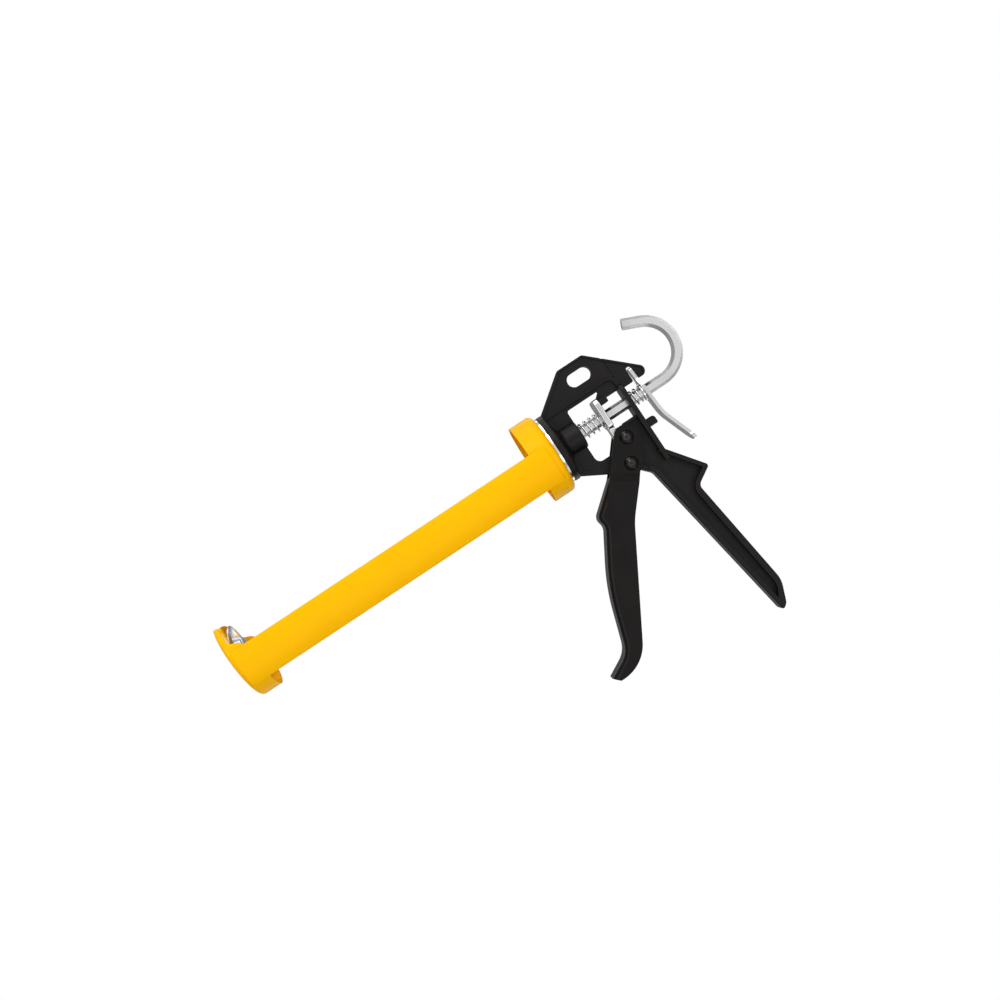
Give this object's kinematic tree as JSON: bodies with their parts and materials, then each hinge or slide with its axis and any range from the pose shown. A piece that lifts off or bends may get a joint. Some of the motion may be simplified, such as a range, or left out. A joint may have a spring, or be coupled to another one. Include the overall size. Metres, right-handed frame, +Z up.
{
  "type": "caulking gun",
  "caption": "Hand-squeezed caulking gun: turning open cradle with slotted front cup, hooked hexagonal push rod, cast frame with pistol handle, channel trigger and thumb release lever.",
  "frame": {"origin": "on the rod axis, at the front face of the frame's flange", "axes": "+X along the rod towards the hook, +Z up and away from the handle, Y across the width; the cradle is on the -X side"},
  "size_m": [0.3657, 0.06, 0.2208],
  "materials": {
    "yellow_coat": "glossy yellow powder coat on pressed steel",
    "black_casting": "satin black coat on an aluminium casting",
    "black_steel": "satin black coat on pressed steel",
    "bright_zinc": "bright zinc plate",
    "spring_steel": "plated spring wire"
  },
  "bodies": {
    "frame": {"frame_casting": "black_casting", "thrust_washer": "bright_zinc", "friction_washer": "bright_zinc", "barrel_nut": "bright_zinc", "pivot_rivet": "black_steel", "drive_spring": "spring_steel", "release_spring": "spring_steel"},
    "cradle": {"front_cup": "yellow_coat", "left_rail": "yellow_coat", "right_rail": "yellow_coat", "rear_collar": "yellow_coat"},
    "rod": {"hook_rod": "bright_zinc", "plunger_disc": "bright_zinc", "plunger_backing": "bright_zinc", "plunger_nut": "bright_zinc"},
    "trigger": {"trigger": "black_steel", "drive_rivet": "black_steel"},
    "plate": {"drive_plate": "bright_zinc"},
    "lever": {"release_lever": "bright_zinc", "release_washer": "bright_zinc"}
  },
  "joints": [
    {"name": "cradle_spin", "type": "hinge", "parent": "frame", "child": "cradle", "pos_m": [0, 0, 0], "axis": [1, 0, 0], "continuous": true},
    {"name": "rod_slide", "type": "slide", "parent": "frame", "child": "rod", "axis": [1, 0, 0], "range_m": [0, 0.231]},
    {"name": "trigger_pull", "type": "hinge", "parent": "frame", "child": "trigger", "pos_m": [0.0369, 0, -0.035], "axis": [0, -1, 0], "range_deg": [0, 24], "stiffness_Nm_per_rad": 0.6, "springref_deg": -20.05},
    {"name": "plate_slide", "type": "slide", "parent": "frame", "child": "plate", "axis": [-1, 0, 0], "range_m": [0, 0.0074], "deforming": ["drive_spring"]},
    {"name": "release_press", "type": "hinge", "parent": "frame", "child": "lever", "pos_m": [0.071, 0, 0.018], "axis": [0, 1, 0], "range_deg": [0, 5], "stiffness_Nm_per_rad": 0.3, "springref_deg": -8.59, "deforming": ["release_spring"]}
  ],
  "couplings": [
    {"joint": "plate_slide", "follows": "trigger_pull", "m_per_rad": 0.01705}
  ]
}
